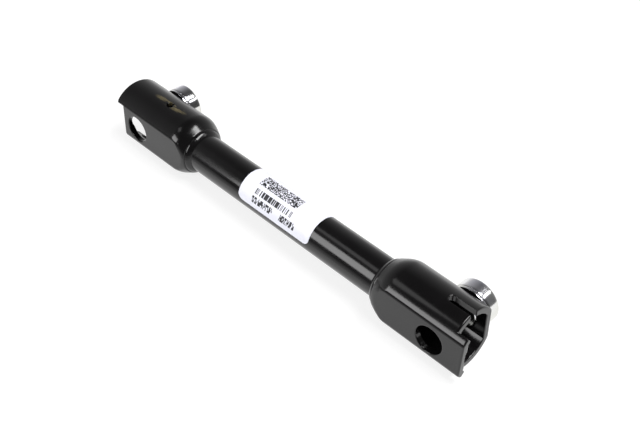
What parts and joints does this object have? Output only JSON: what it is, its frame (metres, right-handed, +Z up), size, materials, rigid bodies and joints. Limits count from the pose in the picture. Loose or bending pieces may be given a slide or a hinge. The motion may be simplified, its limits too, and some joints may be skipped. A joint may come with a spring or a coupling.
{
  "type": "universal joint shaft",
  "caption": "Intermediate drive shaft: a round tube with a double-flatted clamp socket welded on each end, cross holes, open slots and round-head clamp screws.",
  "frame": {"origin": "centre of the whole part's box: 1.15 mm towards the right socket from the midpoint between the two cross holes, and 6 mm behind the shaft's axis", "axes": "+X along the shaft towards the socket with the tongue, +Y along the clamp screws from the front flats to the screw heads, +Z up through the right socket's slot"},
  "size_m": [0.2916, 0.044, 0.04],
  "materials": {
    "black_paint": "semi-gloss black paint on welded steel",
    "zinc_plate": "bright zinc plate, fine turned",
    "label_paper": null
  },
  "bodies": {
    "shaft": {"centre_tube": "black_paint", "left_socket": "black_paint", "right_socket": "black_paint", "left_weld_bead": "black_paint", "right_weld_bead": "black_paint", "label": "label_paper"},
    "left_washer": {"left_captive_washer": "zinc_plate"},
    "left_screw": {"left_clamp_screw": "zinc_plate"},
    "right_washer": {"right_captive_washer": "zinc_plate"},
    "right_screw": {"right_clamp_screw": "zinc_plate"}
  },
  "joints": [
    {"name": "left_screw_travel", "type": "slide", "parent": "shaft", "child": "left_washer", "axis": [0, 1, 0], "range_m": [-0.0005, 0.0025]},
    {"name": "left_screw_turn", "type": "hinge", "parent": "left_washer", "child": "left_screw", "pos_m": [-0.12615, 0.018, -0.001], "axis": [0, 1, 0], "range_deg": [-120, 600]},
    {"name": "right_screw_travel", "type": "slide", "parent": "shaft", "child": "right_washer", "axis": [0, 1, 0], "range_m": [-0.0005, 0.0025]},
    {"name": "right_screw_turn", "type": "hinge", "parent": "right_washer", "child": "right_screw", "pos_m": [0.12385, 0.018, -0.001], "axis": [0, 1, 0], "range_deg": [-120, 600]}
  ],
  "couplings": [
    {"joint": "left_screw_turn", "follows": "left_screw_travel", "rad_per_m": 4188.8},
    {"joint": "right_screw_turn", "follows": "right_screw_travel", "rad_per_m": 4188.8}
  ]
}
